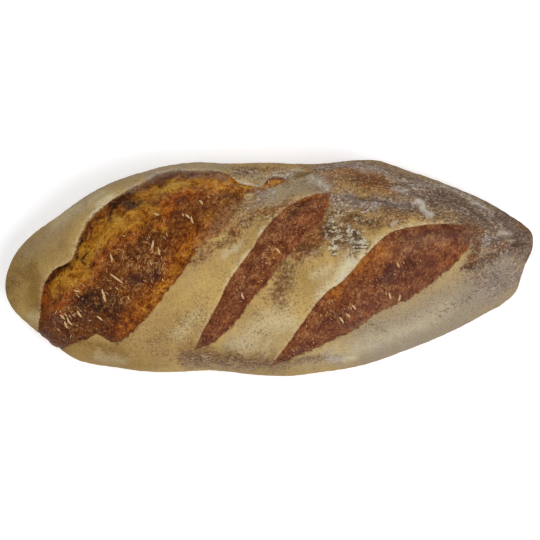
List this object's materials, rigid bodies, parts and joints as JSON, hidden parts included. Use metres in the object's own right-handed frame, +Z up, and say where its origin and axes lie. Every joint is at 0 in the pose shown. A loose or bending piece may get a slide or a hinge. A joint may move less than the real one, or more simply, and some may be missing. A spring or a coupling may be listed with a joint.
{
  "type": "sourdough loaf",
  "caption": "Oblong semi-wholemeal sourdough loaf with a floured crust, open slashes across its top and a flat base.",
  "frame": {"origin": "on the table under the middle of the loaf's outline", "axes": "+X along the loaf to its narrower tip, +Y to its back, the side that the wide slash runs up to, +Z up"},
  "size_m": [0.3, 0.1244, 0.0789],
  "materials": {
    "crust": "matte baked crust with pale flour, red-brown torn crumb in the slashes"
  },
  "bodies": {
    "root": {"loaf": "crust"}
  },
  "joints": []
}
